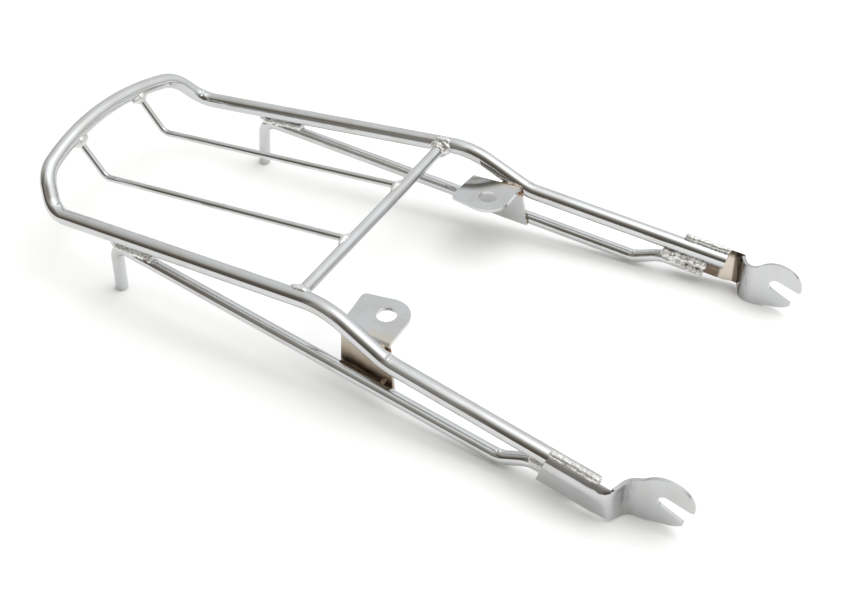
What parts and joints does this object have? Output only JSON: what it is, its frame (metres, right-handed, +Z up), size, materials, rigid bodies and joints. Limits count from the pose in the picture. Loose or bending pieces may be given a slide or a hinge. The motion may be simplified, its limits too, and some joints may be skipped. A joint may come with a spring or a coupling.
{
  "type": "motorcycle luggage rack",
  "caption": "Chrome tubular luggage rack: a bent tube loop with a raised rear hoop, cross bar, slats, lower struts with pegs, holed tab brackets and open fork brackets.",
  "frame": {"origin": "middle of the bounding box at floor level, on the mirror plane", "axes": "+X right, +Y forward towards the fork brackets, +Z up"},
  "size_m": [0.2934, 0.6098, 0.099],
  "materials": {
    "tube": "bright chrome plate on bent tube",
    "rod": "bright chrome plate on rod",
    "sheet": "chrome plate on pressed sheet, slightly duller",
    "weld": "chrome plate over rippled weld beads"
  },
  "bodies": {
    "root": {"main_loop_tube": "tube", "cross_bar": "rod", "slat_right": "rod", "slat_left": "rod", "strut_right": "rod", "strut_left": "rod", "tab_bracket_right": "sheet", "tab_bracket_left": "sheet", "fork_bracket_right": "sheet", "fork_bracket_left": "sheet", "cross_bar_weld_right": "weld", "cross_bar_weld_left": "weld", "slat_front_weld_right": "weld", "slat_front_weld_left": "weld", "slat_rear_weld_right": "weld", "slat_rear_weld_left": "weld", "strut_weld_right": "weld", "strut_weld_left": "weld", "tab_rail_weld_right": "weld", "tab_rail_weld_left": "weld", "tab_strut_weld_right": "weld", "tab_strut_weld_left": "weld", "roll_weld_right": "weld", "roll_weld_left": "weld", "tail_weld_right": "weld", "tail_weld_left": "weld"}
  },
  "joints": []
}
